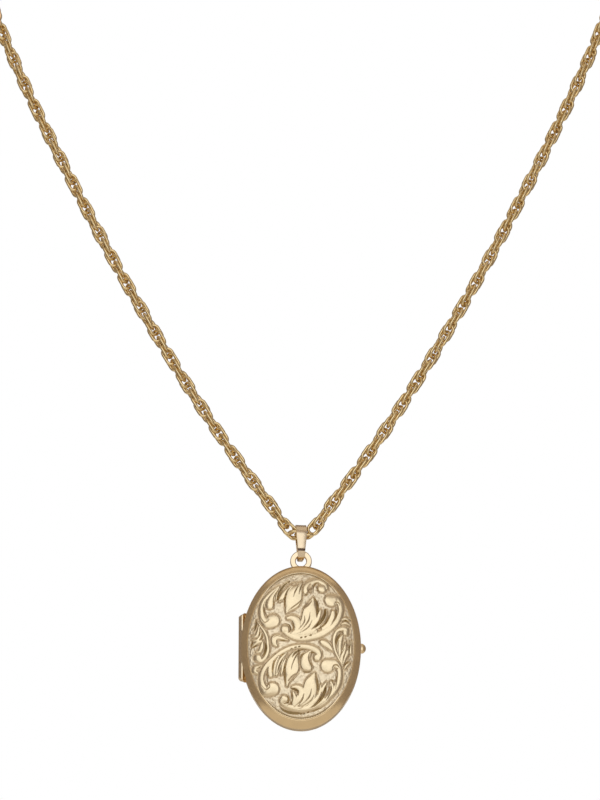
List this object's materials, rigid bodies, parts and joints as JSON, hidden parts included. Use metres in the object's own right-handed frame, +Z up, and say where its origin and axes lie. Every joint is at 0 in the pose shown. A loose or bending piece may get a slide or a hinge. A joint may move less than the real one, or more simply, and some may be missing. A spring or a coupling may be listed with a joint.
{
  "type": "locket",
  "caption": "Oval hinged locket with a carved scroll front, snap rim, framed windows, bail and twisted curb chain with a bolt ring clasp.",
  "frame": {"origin": "top of the necklace, midway between the chain's two ends at the clasp, where the wearer's neck carries it", "axes": "+Z up along the hanging locket, +Y out of the locket's plain back, +X to the right seen from the carved front"},
  "size_m": [0.1294, 0.0051, 0.2131],
  "materials": {
    "engraved_gold": "hand-carved, bright-cut leaves on a matted ground",
    "polished_gold": "polished yellow gold",
    "chain_gold": "polished yellow gold wire links",
    "spring_steel": "drawn spring wire",
    "clear_sheet": "clear polished sheet"
  },
  "bodies": {
    "chain": {"chain_left": "chain_gold", "chain_right": "chain_gold", "clasp_body": "polished_gold", "clasp_spring": "spring_steel", "left_jump_ring": "polished_gold", "right_jump_ring": "polished_gold"},
    "bolt": {"clasp_bolt": "polished_gold"},
    "bail": {"bail": "polished_gold"},
    "case": {"back_cover": "polished_gold", "snap_rim": "polished_gold", "pendant_loop": "polished_gold", "hinge_knuckle_upper": "polished_gold", "hinge_knuckle_lower": "polished_gold", "hinge_pin": "polished_gold", "back_photo_frame": "polished_gold", "back_window": "clear_sheet"},
    "lid": {"front_cover": "engraved_gold", "hinge_knuckle_middle": "polished_gold", "front_photo_frame": "polished_gold", "front_window": "clear_sheet", "thumb_piece": "polished_gold"}
  },
  "joints": [
    {"name": "bail_swing", "type": "hinge", "parent": "chain", "child": "bail", "pos_m": [0, 0, -0.1725], "axis": [1, 0, 0], "range_deg": [-60, 60]},
    {"name": "case_swing", "type": "hinge", "parent": "bail", "child": "case", "pos_m": [0, 0, -0.17626], "axis": [1, 0, 0], "range_deg": [-60, 60]},
    {"name": "lid_hinge", "type": "hinge", "parent": "case", "child": "lid", "pos_m": [-0.0111, -0.00045, -0.19425], "axis": [0, 0, -1], "range_deg": [0, 175]},
    {"name": "bolt_slide", "type": "hinge", "parent": "chain", "child": "bolt", "pos_m": [0.00125, 0, 0], "axis": [0, -1, 0], "range_deg": [0, 50], "stiffness_Nm_per_rad": 0.002, "springref_deg": -17.19, "deforming": ["clasp_spring"]}
  ]
}
